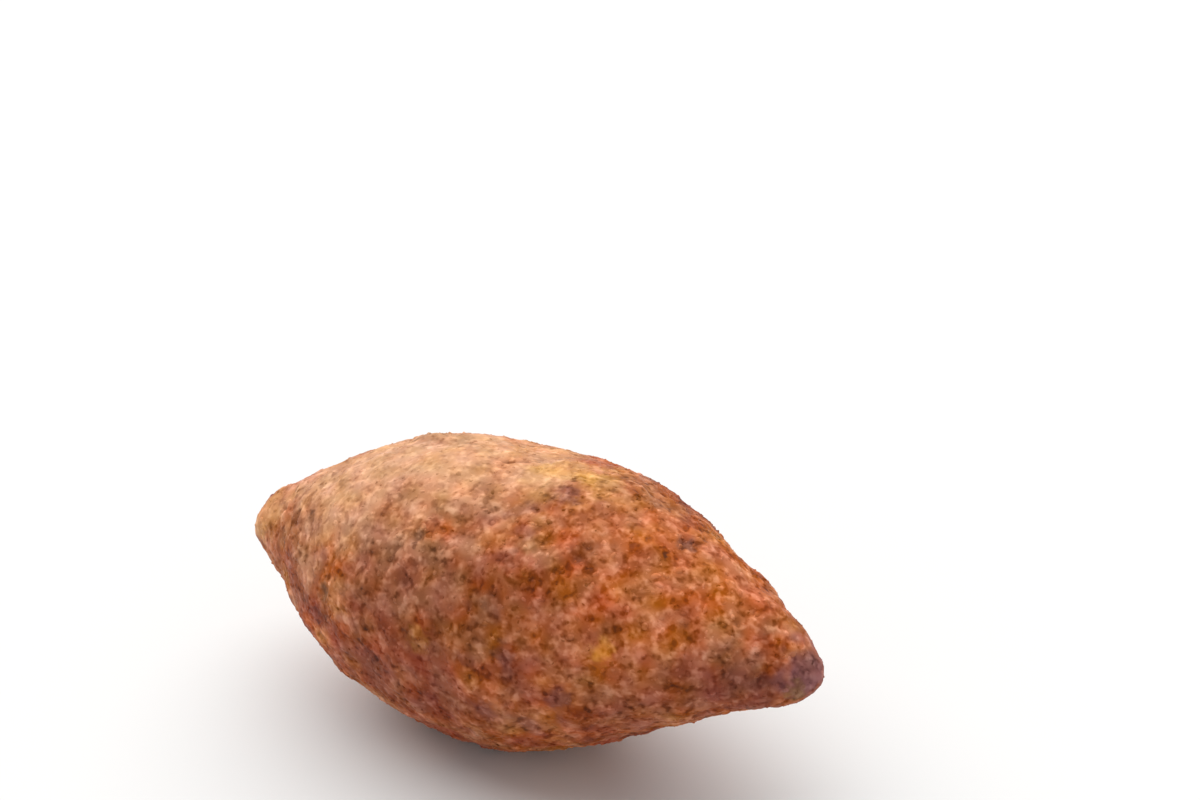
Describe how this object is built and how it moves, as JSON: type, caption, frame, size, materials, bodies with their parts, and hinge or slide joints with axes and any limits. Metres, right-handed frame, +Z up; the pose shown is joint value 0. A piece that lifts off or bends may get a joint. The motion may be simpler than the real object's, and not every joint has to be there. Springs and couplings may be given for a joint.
{
  "type": "kibbeh",
  "caption": "Deep-fried kibbeh: a torpedo-shaped dumpling of bulgur and meat dough with pinched ends and a rough, browned crust.",
  "frame": {"origin": "bottom centre of the piece's box, on the plane that it rests on", "axes": "+X along the piece from the blunt tip to the drawn-out tip, +Z up, +Y across to the left of +X"},
  "size_m": [0.092, 0.045, 0.0448],
  "materials": {
    "fried_crust": "rough deep-fried crust, mottled warm brown, matt with a little oil in it"
  },
  "bodies": {
    "root": {"kibbeh": "fried_crust"}
  },
  "joints": []
}
